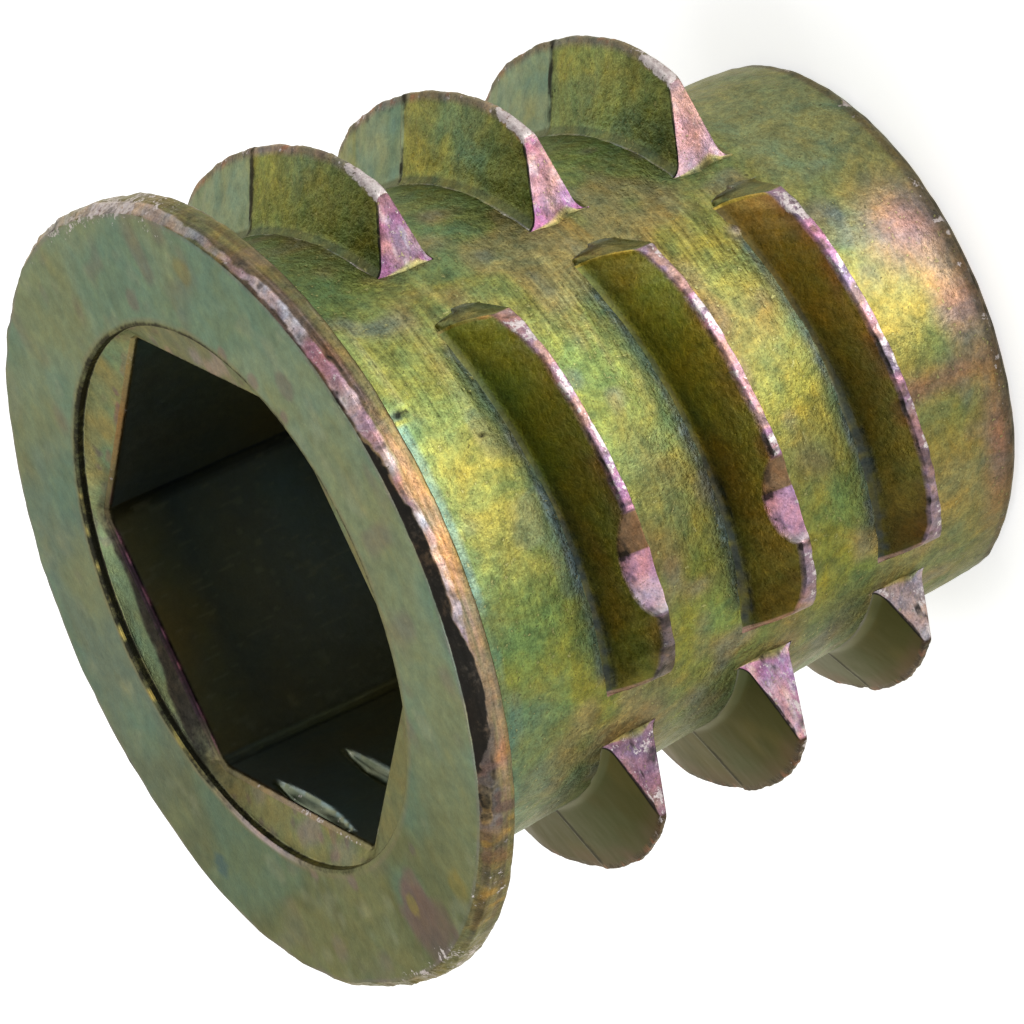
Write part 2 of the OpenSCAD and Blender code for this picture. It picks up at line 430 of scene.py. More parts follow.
    # recess lip: a dark line under the face's edge, the wall below like the ledge
    lip = R < RECESS_R + 0.06
    chips = smooth(0.1, 0.5, noise(P, 0.3, 17)) * bump(np.abs(th), 175, 28)
    clean = bump(th, 128, 14)
    shadow = (0.55 + 0.3 * wob) * smooth(H - 0.20, H - 0.12, Z) * (1 - 0.9 * bump(th, 58, 52))
    dark = np.where(lip, shadow * (1 - chips) * (1 - clean), np.clip(dark, 0, 1))
    hem = face & (R > RECESS_R + 0.05) & (R < RECESS_R + 0.16)
    tint = paint(
        tint,
        ((160, 165, 75), lip),
        ((340, 260, 70), lip * chips),
        ((420, 330, 320), lip * clean * 0.9),
        ((200, 170, 100), hem * (0.35 + 0.5 * wob)),
    )
    cyl = np.stack([np.radians(th) * FACE_MEAN_R, Z, R], -1)
    return make_mesh("flange", moved, grid_faces(*R.shape, wrap_u=True, flip=True), tint,
                     np.clip(wear, 0, 0.9), dark, np.where(face, 0.22, 0.6), cyl,
                     np.where(rim, 0.35, 0.0))


# ---------------------------------------------------------------- barrel
# pits in the side with a raised brim, as angle and height; the first three carry a painted shadow
# on one side
PITS = ((-4.5, 10.80), (10.4, 10.63), (-9.0, 10.05), (33, 10.4), (-6, 5.0))
# where a tool rubbed the side, and patches of painted shade beside the lower blocks, as angle and
# height
RUBBED = ((-27, 9.3), (-14, 9.4), (-22, 6.7), (-12, 6.3), (-30, 3.6))
SHADES = ((68, 6.7), (74, 9.6), (64, 3.8))
# brown patches: angle, half width, height, half height
BROWN = ((-7, 9, 4.4, 0.55), (-12, 8, 5.2, 0.4), (9, 8, 7.3, 0.6), (22, 7, 7.5, 0.7),
         (21, 7, 4.3, 0.5))


def barrel_r(th, z):
    """Radius of the barrel, not quite round at the tip."""
    top = smooth(-30, -60, th) * smooth(-150, -110, th)
    low = between(70, 92, 140, 165, th)
    r = body_r(z) + 0.05 * top * smooth(1.6, 0.8, z) - 0.04 * top * bump(z, 2.5, 0.8)
    r = r - 0.09 * low * smooth(2.8, 1.2, z)
    return r + 0.04 * (1 - top) * (1 - low) * smooth(2.0, 0.5, z)


def barrel_piece():
    """The tapered body's side, the tip's rounded rim and its flat face."""
    # here the profile's radius counts from the side
    prof = profile((
        (0, NECK_H - 0.15, 1), (0, TIP_RIM, 128), (-0.035, 0.13, 2), (-0.15, 0.015, 3),
        (-TIP_RIM, 0.0, 1), (-1.0, 0.0, 5),
    ))
    A, Q, Z = turned(prof, azimuths(0.42, 1.3))
    th = theta_of(A)
    on_side = Q > -0.01
    inner = np.clip((-Q - TIP_RIM) / (1 - TIP_RIM), 0, 1)
    tip_face = (barrel_r(th, TIP_RIM) - TIP_RIM) * (1 - inner) + (BORE_R + BEVEL) * inner
    R = np.where(Q < -0.2, tip_face, barrel_r(th, np.maximum(Z, TIP_RIM)) + Q)
    P = polar(R, A, Z)
    wob, wob2, wob3, fine = noises(P, (0.5, 61), (1.3, 62), (3.0, 63), (0.16, 64))
    round_by = np.radians(th) * BODY_R

    def away(t0, z0, shift=0.0):
        """Distance over the side from a point, or from one moved down and clockwise."""
        return np.hypot(round_by - math.radians(t0) * BODY_R - shift, Z - z0 + shift)

    def patch(t0, wide, z0, high):
        """A soft patch of the side about a point, with its half width and half height."""
        return bump(th, t0, wide) * bump(Z, z0, high)

    d = 0.012 * noise(P, 1.6, 1) + 0.008 * noise(P, 0.7, 2) + 0.006 * noise(P, 0.28, 3)
    d = d + 0.005 * fine
    d = np.where(on_side, d, d * 0.4 * (Z > 0.01))
    d = np.where((Z > 0.01) & (Z < 0.3), d + 0.014 * noise(P, 0.25, 65) - 0.004, d)
    rng = np.random.default_rng(7)
    for _ in range(60):
        t0, z0 = rng.uniform(-110, 110), rng.uniform(0.6, 11.6)
        size, depth = rng.uniform(0.04, 0.09), rng.uniform(0.006, 0.02)
        d = d - bump(away(t0, z0), 0, size) * depth * on_side
    for t0, z0 in PITS:
        d = d - bump(away(t0, z0), 0, 0.06) * 0.03 + bump(away(t0, z0), 0.11, 0.04) * 0.012
    # raised strip beside the flange, ending in a short step
    step = smooth(11.03, 11.07, Z) * between(-37, -35.5, -18.4, -17.8, th)
    nub = away(-25.8, 3.72)
    d = d + 0.035 * step + 0.07 * bump(nub, 0, 0.12)

    # next to the flange a pale teal strip, where the neck starts
    start = 11.31 - 1.25e-4 * th ** 2
    strip = smooth(start - 0.12, start - 0.04, Z + 0.02 * wob)
    above = smooth(start - 0.4, start - 0.12, Z)
    # middle marks the front band round th -6, where the painted highlight goes
    middle = smooth(25, 12, np.abs(th + 6))
    ridge = bump(Z, 11.05, 0.035) + 0.6 * bump(Z, 11.13, 0.03)
    tint = paint(
        plain(R, 228, 232, 60),
        # painted shade: darker and greener towards both sides, away from the lit front
        ((136, 184, 74), smooth(-24, -50, th) * 0.9),
        ((160, 175, 32), smooth(14, 26, th) * (0.75 + 0.25 * wob2)),
        ((125, 155, 75), smooth(45, 68, th) * 0.8),
        # clouds of greener, yellower and browner plating
        ((120, 185, 60), smooth(0.1, 0.6, -wob2 + 0.5 * wob) * 0.55),
        # painted highlight: the yellower clouds show only over the front band
        ((280, 250, 40), smooth(0.05, 0.6, wob2 + 0.3 * wob) * 0.6 * middle),
        ((250, 175, 90), smooth(0.15, 0.65, wob3 + 0.6 * wob) * 0.55),
        ((120, 135, 120), smooth(0.3, 0.7, wob - 0.3 * wob3) * 0.4),
        ((80, 120, 55), smooth(0.35, 0.7, -wob + 0.4 * fine) * 0.4),
        # painted highlight over the front beside the flange
        ((200, 300, 120), above * between(-22, -14, 14, 20, th) * 0.45),
        ((215, 305, 230), strip * between(-20, -16, 14, 22, th) * 0.8),
        ((120, 175, 95), strip * smooth(20, 26, th) * 0.7),
        # painted shade: greener and darker near the flange at both sides
        ((105, 160, 95), smooth(9.6, 10.6, Z) * smooth(32, 44, th) * 0.65),
        ((80, 130, 55), smooth(10.0, 11.3, Z) * smooth(-34, -46, th) * 0.8),
        ((190, 250, 90), step * 0.8),
        ((400, 400, 170), ridge * between(-38, -35, -19, -18, th)),
    )
    # bright and dark lines drawn round the body
    lines = noise(np.stack([round_by * 0.5, Z * 8.0, 0 * R], -1), 1.0, 66)
    for t0, z0 in RUBBED:
        rub = patch(t0, 10, z0, 0.75)
        tint = paint(
            tint,
            ((400, 340, 130), rub * smooth(0.15, 0.5, lines) * 0.7),
            ((110, 100, 40), rub * smooth(0.15, 0.5, -lines) * 0.6),
        )
    # painted shade along the foot of each middle block: green, and grey-blue at the foot itself
    for k in (0, 4, 8):
        up = root_h(th - 8 + 90 * k)
        half = 34.0 if k < 8 else 33.0
        beside = between(-half - 2, -half + 3, half - 2, half + 2, th - 8)
        pale = bump(Z, up + 0.17, 0.04) * smooth(0.1, 0.5, fine + wob)
        tint = paint(
            tint,
            ((80, 125, 65), smooth(up + 0.55, up + 0.10, Z) * (Z > up - 0.4) * beside * 0.70),
            ((70, 92, 98), bump(Z, up + 0.10, 0.08) * beside * (0.75 + 0.4 * wob)),
            ((190, 230, 240), pale * beside * 0.4),
        )
    # between the ridges it is browner just tip-ward of each crest
    lanes = [bump(Z, z0 + (8 - th) * PITCH / 360 + 0.55, 0.45) * smooth(8, 22, th)
             for z0 in (7.8, 4.85)]
    tint = paint(
        tint,
        # painted shade beside the lower blocks
        *(((65, 65, 38), patch(t0, 9, z0, 0.45) * 0.75) for t0, z0 in SHADES),
        *(((165, 118, 56), patch(*place) * (0.65 + 0.5 * wob)) for place in BROWN),
        # painted highlight in the front band near the flange
        ((300, 295, 85), bump(Z, 10.6, 0.6) * between(-20, -12, 12, 20, th) * 0.35),
        ((165, 215, 70), patch(-20, 9, 10.7, 0.5) * 0.7),
        *(((165, 105, 50), lane * 0.55) for lane in lanes),
    )
    low = smooth(3.0, 2.2, Z)
    rim = (Z > 0.10) & (Z < 0.30) & on_side | (Q < -0.01) & (Z > 0.02)
    tint = paint(
        tint,
        # tip: peach, yellow, brown and plum patches
        ((210, 225, 110), low * smooth(-20, -38, th) * 0.8),
        ((325, 192, 180), low * patch(-13, 11, 0.8, 1.0) * 0.95),
        ((280, 260, 85), low * patch(2, 8, 1.9, 0.9) * 0.8),
        ((340, 215, 185), smooth(1.3, 0.7, Z) * bump(th, 5, 10) * 0.85),
        ((220, 130, 82), low * bump(th, 17.5, 4) * (0.75 + 0.4 * wob)),
        ((260, 200, 85), low * bump(th, 42, 18) * 0.7),
        ((230, 125, 110), smooth(1.0, 0.45, Z) * bump(th, 36, 20) * 0.75),
        ((120, 125, 120), bump(th + 4 * Z, -14, 2.5) * low * 0.55 * smooth(-0.1, 0.5, wob)),
        # the tip's edge: a thin dark line
        ((100, 80, 55), rim * 0.75),
        ((450, 380, 50), patch(-15.8, 0.6, 11.3, 0.2) * 0.8),
        ((200, 185, 180), bump(nub, 0, 0.14)),
    )
    specks = smooth(0.1, 0.5, noise(P, 0.14, 67))
    bright = 0.25 + 0.55 * bump(th, -45, 5) + 0.5 * bump(th, -8, 9) + 0.25 * bump(th, 14, 8)
    wear = specks * (rim * bright + 0.30 * patch(-10, 16, 0.36, 0.10))
    dark = 0.45 * (Z < 0.16) * (Z > 0.005) + 0.25 * bump(Z, 0.22, 0.06) * smooth(-0.1, 0.4, wob)
    # painted shadow on one side of the first three pits
    for t0, z0 in PITS[:3]:
        dark = dark + bump(away(t0, z0, 0.03), 0.06, 0.03) * 0.42 * (th > t0)
    dark = dark + 0.6 * patch(-17.2, 0.9, 11.22, 0.22) + 0.35 * bump(nub, 0.19, 0.05)
    brushed = 0.14 + 0.6 * bump(th, -25, 13) * (Z > 3.2) + 0.12 * bump(th, 20, 14)
    brushed = np.where(on_side, np.clip(brushed - 0.2 * (Z < 2.5), 0, 1), 0)
    cyl = np.stack([round_by, Z, R], -1)
    return make_mesh("barrel", polar(R + d, A, Z), grid_faces(*R.shape, wrap_u=True, flip=True),
                     tint, wear, dark, np.where(on_side, 0.95, 0.4), cyl, brushed)


# ---------------------------------------------------------------- thread
# Blocks are numbered from -2, a quarter turn each. Odd ones cross the parting line:
# -1, 3, 7 on the upper side in the front view, 1, 5, 9 on the lower side.
# FULL is the last of full height, and the FRONT ones have a finer grid.
FIRST, LAST, FULL = -2, 10, 7
FRONT = (-1, 0, 1, 3, 4, 5, 7, 8, 9)
# parts of a block's cross-section, from the upper flank's foot round to the lower one's
FOOT, FLANK, NEAR_EDGE, CREST, FAR_EDGE, UNDER, UNDER_FOOT = range(7)
# gate scars: angle from the block's middle and half length, and their depth
SCARS = {0: (15.3, 1.30), 4: (16.8, 1.12)}
SCAR_CUT = 0.46
# how far the end towards the front spreads at its foot, and a crest's shift up
FRONT_FOOT = {-1: 1.0, 3: 2.9, 7: 2.7, 1: 1.3, 5: 2.2, 9: 2.0}
CREST_SHIFT = {3: -0.04, 7: -0.08, 1: 0.05, 5: -0.02, 9: -0.03}
# rows of points over an end face: the share of the half angle, and of the way down
END_ROWS = [
    (0.991, 0.006), (0.996, 0.018),
    *((1.0, t) for t in (0.045, 0.09, 0.16, 0.25, 0.34, 0.44, 0.54, 0.64, 0.74, 0.83, 0.9, 0.95)),
    (1.002, 0.975), (1.006, 0.99), (1.010, 1.0),
]
# middle blocks: colour at the flank's lower end, and red, green and blue levels along it; both
# are painted light and shade that darken the flank, most towards its lower end
LATE = {0: (170, 150, 34), 4: (150, 115, 30)}
LATE_REST = (120, 78, 26)
FLANK_SHADE_LEVELS = {
    0: ((.70, .74, .66), (.80, .72, .70), (1.0, 1.0, .62)),
    4: ((.92, .83, .66), (.96, .77, .66), (.92, .92, .50)),
}
FLANK_SHADE_LEVELS_REST = ((.90, .49, .45), (.58, .42, .44), (.66, .60, .36))


def middle_half(r):
    return np.arcsin(np.minimum(0.98, BLOCK_W / 2 * math.cos(BLOCK_DRAFT) / r)) - BLOCK_DRAFT


def side_half(r, r_root):
    return np.arcsin(np.minimum(0.98, r_root * math.sin(SIDE_HALF) / r))


def back_step(p):
    """How the far half of the die sits lower."""
    return np.where(cosd(p) < -0.02, -PARTING_STEP, 0.0)


def bezier(a, b, c, n):
    t = np.linspace(0, 1, n + 1)[:, None]
    return (1 - t) ** 2 * a + 2 * t * (1 - t) * b + t ** 2 * c


def unit(v):
    return v / np.linalg.norm(v)


def section(k, p, s):
    """Cross-section of block k at angle p, the share s of the way from its middle to its end.

    Gives points (r, z), the part each belongs to, the scar's depth and place,
    the two foot points and the crest's radius.
    """
    side, low_side = k % 2 != 0, k % 4 == 1
    up = root_h(p) + float(back_step(p))
    low = up - RIDGE_BASE
    mid_r = body_r((up + low) / 2)
    full = crest_r(p) + (0.03 if k == -1 else 0.0)
    keep = 1 if k <= FULL else RUNOUT_KEEP if k < LAST else LAST_KEEP
    end_drop = END_DROP * (0.55 if low_side and s < 0 else 1.0)
    drop = (0 if side else MIDDLE_DROP) + end_drop * max(0, (abs(s) - 0.6) / 0.4) ** 2
    if low_side:
        drop -= 0.07 if k == 1 else 0.03
    if not side and s > 0.84:
        # the lower end of a middle block is rounded off
        drop += 0.24 * (1 - math.sqrt(max(0.0, 1 - ((s - 0.84) / 0.16) ** 2)))
    u = 2.0
    if k in SCARS:
        mid, half_len = SCARS[k]
        u = math.radians(p - 90 * k - mid) * full / half_len
    bell = max(0, 1 - u * u)
    q = np.array([p * 0.11, k * 7.0, 0.5])
    wob = noise(q, 0.5, 21) * 0.016 + noise(q, 0.2, 22) * 0.014 + noise(q, 0.09, 23) * 0.010
    even = mid_r + keep * (full - drop - mid_r) - 0.01
    top = even + wob
    blunt = CREST_WIDTH + (RIDGE_BASE - CREST_WIDTH) * max(drop, 0) / (full - mid_r) * 0.75
    crest_z = up - RIDGE_LEAN - RIDGE_CREST / 2
    even_edge = np.array([even, crest_z + blunt / 2])
    blunt *= 1 + 0.25 * noise(q + 5, 0.35, 24)
    A, D = np.array([body_r(up), up]), np.array([body_r(low), low])
    B, C = np.array([top, crest_z + blunt / 2]), np.array([top, crest_z - blunt / 2])
    along_body = np.array([(NECK_D - TIP_D) / NECK_H / 2, 1.0])
    fillet = 0.20 if side else 0.13
    edge = 0.07 if side and not low_side else min(0.03, blunt * 0.4)
    # the lower side's flanks are smooth: only their crest line wanders
    up_flank = unit((even_edge if low_side else B) - A)
    if bell:
        # a gate scar is a flat cut from the crest down the upper flank
        B = B - up_flank * SCAR_CUT * bell ** 0.75
        C = C - np.array([0.02 * bell, 0.0])
    up_under = unit(C - D)
    sink = np.array([-0.02, 0])
    a1, b1 = A + up_flank * fillet, (even_edge if low_side else B) - up_flank * edge
    c1, d1 = C - up_under * edge, D + up_under * fillet
    parts = (
        bezier(A + along_body * fillet + sink, A, a1, 6),
        a1 + (b1 - a1) * np.linspace(0, 1, 12)[1:-1, None],
        bezier(b1, B, B + (C - B) * 0.2, 3),
        B + (C - B) * np.array([[0.35], [0.5], [0.65]]),
        bezier(C + (B - C) * 0.2, C, c1, 3),
        c1 + (d1 - c1) * np.linspace(0, 1, 7)[1:-1, None],
        bezier(d1, D, D - along_body * fillet + sink, 4),
    )
    kind = np.repeat(range(7), [len(x) for x in parts])
    return np.concatenate(parts), kind, bell, u, A, D, top


def block_row(k, s, t):
    """A row of block k, s of the way to its end and t of the way down its end face."""
    side, low_side = k % 2 != 0, k % 4 == 1
    nose = -1.0 if low_side else 1.0
    p0 = 90.0 * k
    r_root = body_r(root_h(p0) - RIDGE_BASE / 2)
    sc = min(1, max(-1, s))
    guess = p0 + sc * math.degrees(SIDE_HALF if side else float(middle_half(r_root)))
    q, kind, bell, u, A, D, top = section(k, guess, sc)
    fr = (q[:, 1] - D[1]) / (A[1] - D[1])
    base_r = D[0] + (A[0] - D[0]) * fr
    r = base_r + (q[:, 0] - base_r) * (1 - t) - 0.04 * smooth(0.96, 1.0, t)
    rr = np.maximum(r, r_root * 0.97)
    rise = np.clip((r - base_r) / max(top - r_root, 0.2), 0, 1)
    p = p0 + s * np.degrees(side_half(rr, r_root) if side else middle_half(rr))
    if k in FRONT_FOOT:
        lean = (0.35 + 0.65 * smooth(0.15, 0.65, fr)) * (1 - rise)
        p = p + nose * FRONT_FOOT[k] * lean * smooth(0.4, 1.0, sc * nose)
    if not side:
        # rounded corners where the flank, the body and the end meet
        inset = (1.2 if s > 0 else 2.1) * (1 - rise) ** 3 * smooth(0.9, 1.0, abs(sc))
        p = p - s * inset * (kind <= FLANK) * (1 - 0.65 * smooth(0.0, 0.6, t))
        if s < 0:
            # the foot of the upper end spreads in an arch
            spread = np.interp(fr, (0, 0.2, 0.5, 0.85, 1.0), (0, 0.7, 1.0, 0.45, 0.0))
            p = p - spread * smooth(0.3, 1.0, t)
            r = r + 0.05 * math.sin(math.pi * t ** 0.8) * (1 - rise) ** 2 * (kind <= FLANK)
            r = r - 0.09 * (np.arange(len(kind)) < 4) * smooth(0.0, 0.3, t)
        if k == 8:
            p = p - 1.6 * smooth(0.5, 1.0, sc) + 1.8 * smooth(-0.5, -1.0, sc)
    z = q[:, 1] + root_h(p) - root_h(guess) + CREST_SHIFT.get(k, 0.0) * rise
    if side:
        z = z + back_step(p) - back_step(guess)
    elif s < 0:
        z = z - np.maximum(q[:, 1] - A[1], 0) * 0.9 * smooth(0.0, 0.35, t)
    if low_side:
        z = z + (0.09 * smooth(0.3, -1.0, sc) + 0.06 * smooth(0.0, 0.7, sc)) * rise
        r = r + (0.05 * smooth(0.0, 0.7, sc) - 0.03 * bump(sc, -0.6, 0.4)) * rise
    return polar(r, PULL_AZ - p, z), np.array(np.broadcast_arrays(kind, t, s, bell, u, p, rise))


def block_grid(k):
    """Points of block k, and what the paint needs to know of each."""
    side, low_side = k % 2 != 0, k % 4 == 1
    n = 70 if k not in FRONT else 140 if side else 190
    rows = [(-s, t) for s, t in reversed(END_ROWS)]
    rows += [((2 * i / n - 1) * 0.985, 0.0) for i in range(n + 1)] + END_ROWS
    points, facts = zip(*(block_row(k, s, t) for s, t in rows))
    P, facts = np.array(points), np.stack(facts, 1)
    kind, t, s, p = facts[0], facts[1], facts[2], facts[5]
    out = polar(np.sign(s), PULL_AZ - p - 90, 0)
    rough = (0.012 * noise(P, 0.25, 31) + 0.010 * noise(P, 0.11, 32)) * (1.8 if low_side else 1)
    P = P + out * (rough * ((t > 0.08) & (t < 0.93)))[..., None]
    rough = (0.008 * noise(P, 0.3, 36) + 0.006 * noise(P, 0.12, 37))
    rough = rough * (0.4 if low_side else 1.6 if side else 0.6)
    P[..., 2] += rough * ((kind == FLANK) & (t <= 0.03))
    return P, facts


def block_paint(k, P, kind, t, s, bell, u, p, rise):
    """Tint, wear, dark and grain of block k."""
    side, low_side = k % 2 != 0, k % 4 == 1
    high_side = side and not low_side
    wob, wob2, fine, dust = noises(P, (0.42, 33), (1.3, 34), (0.13, 35), (0.07, 39))
    body = t <= 0.03
    crest = (kind >= NEAR_EDGE) & (kind <= FAR_EDGE) & body
    upper = (kind <= FLANK) & body
    back = cosd(p) < 0
    to_nose = -s if low_side else s
    yellower, greener = smooth(0.05, 0.6, wob2 + 0.5 * wob), smooth(0.05, 0.6, -wob2 + 0.5 * wob)
    wear = np.zeros_like(rise)
    if high_side:
        flank = paint(
            plain(rise, 240, 262, 82) * (0.88 if k == -1 else 1.08),
            # painted light: the far half of the die faces another way and is painted paler and
            # bluer
            ((235, 285, 170), back),
            ((280, 250, 60), yellower * 0.55),
            ((120, 200, 120), greener * 0.55),
            ((150, 240, 190), back * smooth(0.1, 0.6, wob) * 0.5),
            ((260, 250, 55), ~back * bump(s, 0.15, 0.22) * 0.5),
            ((110, 125, 35), ~back * smooth(0.45, 1.0, s) * 0.7),
        )
        grain = np.where(upper, np.where(back, 0.35, 1.25), 0.7)
        # painted shadow along the step at the parting line
        line = bump(p - 90 * k + 0.5 * wob, 0.0, 0.55 + 0.3 * rise) * (0.55 + 0.5 * wob)
        rub = 0.28 * smooth(0.80, 0.95, rise) * (0.7 + 0.5 * wob)
        dark = line * (upper | crest) + rub * upper
    elif side:
        # painted shade: the flanks on the lower side are painted dark olive
        flank = paint(
            plain(rise, 46, 46, 12),
            ((42, 43, 10), back),
            ((90, 74, 20), smooth(0.05, 0.6, wob2 + 0.4 * wob) * 0.55),
            ((42, 62, 24), smooth(0.05, 0.6, -wob2 + 0.4 * wob) * 0.5),
            ((105, 58, 40), smooth(0.62, 0.92, rise) * 0.7 * (0.6 + 0.6 * wob)),
        )
        grain = np.where(upper, 0.0, 0.7)
        # painted shadow along the step at the parting line
        dark = bump(p - 90 * k, 0.0, 0.7) * (0.75 + 0.3 * wob) * upper
    else:
        late = smooth(0.35, 0.95, s)
        rust = smooth(0.6, 0.95, rise) * smooth(-0.2, 0.5, wob2 + wob)
        flank = paint(
            plain(rise, 330, 300, 55),
            # painted light: brighter towards the flank's upper end
            ((620, 600, 150), smooth(-0.35, -1.0, s) * 0.9),
            (LATE.get(k, LATE_REST), late * 0.9),
            ((200, 280, 50), smooth(0.1, 0.6, wob2) * 0.45 * (1 - 0.6 * late)),
            ((360, 170, 50), smooth(0.1, 0.6, -wob2) * 0.35 * (1 - 0.6 * late)),
            ((300, 100, 55), rust * 0.5 * (1 - 0.5 * late)),
            ((100, 150, 50), smooth(0.35, 0.12, rise) * 0.45),
        )
        shade_level = FLANK_SHADE_LEVELS.get(k, FLANK_SHADE_LEVELS_REST)
        flank = flank * np.stack([np.interp(s, (-1, 0, 1), c) for c in shade_level], -1)
        grain = np.where(upper, 0.5, 0.7)
        dark = 0.22 * smooth(0.82, 0.95, rise) * smooth(-0.9, -0.3, s) * upper
    tint = paint(plain(rise, 160, 165, 50), (flank, upper))

    # foot of the upper flank: painted shade at the root, a thin pale line on the body
    order = np.cumsum(kind == FOOT, axis=1) * (kind == FOOT)
    outer, inner = (order >= 1) & (order <= 2), (order >= 3) & (order <= 5) & body
    if side:
        pale = (120, 120, 110) if low_side else (270, 250, 250)
        tint = paint(
            tint,
            ((85, 95, 45), inner * ((0.4 if low_side else 0.75) + 0.15 * wob)),
            (pale, outer * body * (0.65 + 0.4 * wob)),
        )
        if high_side:
            wear = (0.30 + 0.2 * wob) * ((order == 2) & body & (np.abs(s) > 0.1))
    else:
        late = smooth(-0.3, 0.4, s)
        deep = 0.40 + 0.42 * smooth(-0.7, 0.6, s)
        near_foot = upper & (kind == FLANK) & (rise < 0.2)
        tint = paint(
            tint,
            ((165, 195, 170), outer * (0.60 + 0.45 * wob) * (1 - late)),
            # painted shade at the foot, deeper towards the lower end, and low on the flank
            ((36, 46, 48), ((order >= 1) & body) * late * (0.52 + 0.5 * wob + 0.7 * fine)),
            ((42, 50, 42), inner * deep * (0.85 + 0.55 * fine)),
            ((55, 62, 20), near_foot * smooth(0.2, 0.04, rise) * 0.6),
        )

    # crest
    if side:
        top = paint(
            plain(rise, 60, 40, 28) if low_side else plain(rise, 185, 160, 105),
            ((310, 220, 190), smooth(0.0, 0.5, wob) * (0.15 if low_side else 0.5)),
            ((300, 110, 60), smooth(0.3, 0.6, fine) * 0.5),
        )
        murk = 0.24 * smooth(0.1, 0.5, -fine + 0.4 * wob) * (1 - 0.5 * smooth(0.6, 0.95, to_nose))
        dark = np.where(crest, np.maximum(dark, murk), dark)
        rub = 0.06 + 0.22 * smooth(0, 0.5, wob2) + 0.20 * smooth(-0.1, 0.4, fine)
        rub = rub + 0.48 * smooth(0.55, 0.95, to_nose)
        if low_side:
            rub = 0.50 * smooth(-0.5, -0.98, s) * (0.6 + wob)
    else:
        murk = smooth(-0.3, 0.5, s) if k == 8 else smooth(0.45, 0.9, s)
        top = paint(
            plain(rise, 330, 205, 250),
            ((420, 170, 300), smooth(-0.1, 0.4, wob2) * 0.6),
            ((500, 280, 170), smooth(0.15, 0.5, -wob + 0.4 * fine) * 0.55),
            ((240, 210, 220), smooth(0.1, 0.5, wob) * 0.55),
            ((210, 165, 165), murk * (0.65 + 0.35 * wob)),
            ((100, 65, 60), smooth(0.2, 0.5, fine + 0.3 * dust) * 0.65),
        )
        far = (kind == FAR_EDGE) | ((kind == CREST) & (np.cumsum(kind == CREST, axis=1) == 3))
        rub = 0.10 + 0.40 * smooth(0.0, 0.4, -fine + 0.5 * wob) + 0.18 * far - 0.22 * murk
        near = (kind == NEAR_EDGE) & body & (np.cumsum(kind == NEAR_EDGE, axis=1) <= 2)
        dark = np.where(near, 0.62 * smooth(-0.8, -0.3, s) * (0.7 + 0.6 * wob), dark)
    wear = np.where(crest, rub, wear)
    under = paint(plain(rise, 270, 245, 85), ((170, 200, 90), smooth(0, 0.5, wob2) * 0.5))
    tint = paint(tint, (top, crest), (under, (kind >= UNDER) & body))
    # painted shade at the foot of the lower flank
    dark = np.where((kind == UNDER_FOOT) & body, 0.28 + 0.15 * wob, dark)

    # end faces
    face = ~body & (t < 0.97)
    if side:
        pink = paint(
            plain(rise, 300, 165, 205),
            ((290, 105, 235), smooth(0.0, 0.5, wob) * 0.7),
            ((400, 270, 220), smooth(0.15, 0.6, -wob) * 0.6),
            ((480, 400, 400), smooth(0.35, 0.6, fine + 0.3 * dust) * 0.5),
            ((115, 60, 75), smooth(0.3, 0.6, -fine + 0.3 * wob2) * 0.6),
        )
        rub = 0.10 + 0.12 * fine
        if k == -1:
            pink = pink * 0.62
        elif k == 7:
            pink = paint(pink, ((460, 310, 310), 0.45 + 0 * wob))
        if low_side:
            amount, more = (0.15, 0.1) if k == 9 else (0.55, 0.4)
            silver = smooth(0.2, 0.5, noise(P, 0.16, 40)) * 0.7 * (0.35 + 0.65 * rise)
            pink = paint(
                pink,
                ((90, 50, 60), smooth(0.1, 0.5, wob2 + fine) * 0.6),
                ((500, 440, 450), silver),
                ((340, 190, 310), smooth(-0.3, 0.3, wob2 + 0.4 * fine) * amount),
                ((300, 150, 235), smooth(0.75, 0.3, rise) * smooth(-0.3, 0.3, wob) * more),
            )
            if k == 1:
                pink = pink * np.array((0.80, 0.86, 0.76))
            elif k == 9:
                pink = paint(pink, ((340, 310, 300), 0.6 + 0.2 * wob))
            else:
                gleam = smooth(0.0, 0.4, fine + 0.5 * dust) * 0.5
                pink = paint(pink * 1.3, ((520, 460, 480), gleam))
            rub = 0.12 + 0.18 * smooth(0.0, 0.5, noise(P, 0.2, 38)) + 0.12 * (kind >= FAR_EDGE)
            rub = rub + 0.30 * smooth(0.35, 0.9, rise) * smooth(0.05, 0.4, dust + 0.5 * fine)
            dark = np.where(face & (kind <= FLANK) & (t < 0.13), 0.6, dark)
            dark = dark + 0.5 * smooth(0.3, 0.55, -noise(P, 0.18, 41)) * face
        wear = np.where(face, rub, wear)
        tint = paint(tint, (pink, face), ((200, 190, 90), (face & (to_nose < 0)) * 0.6))
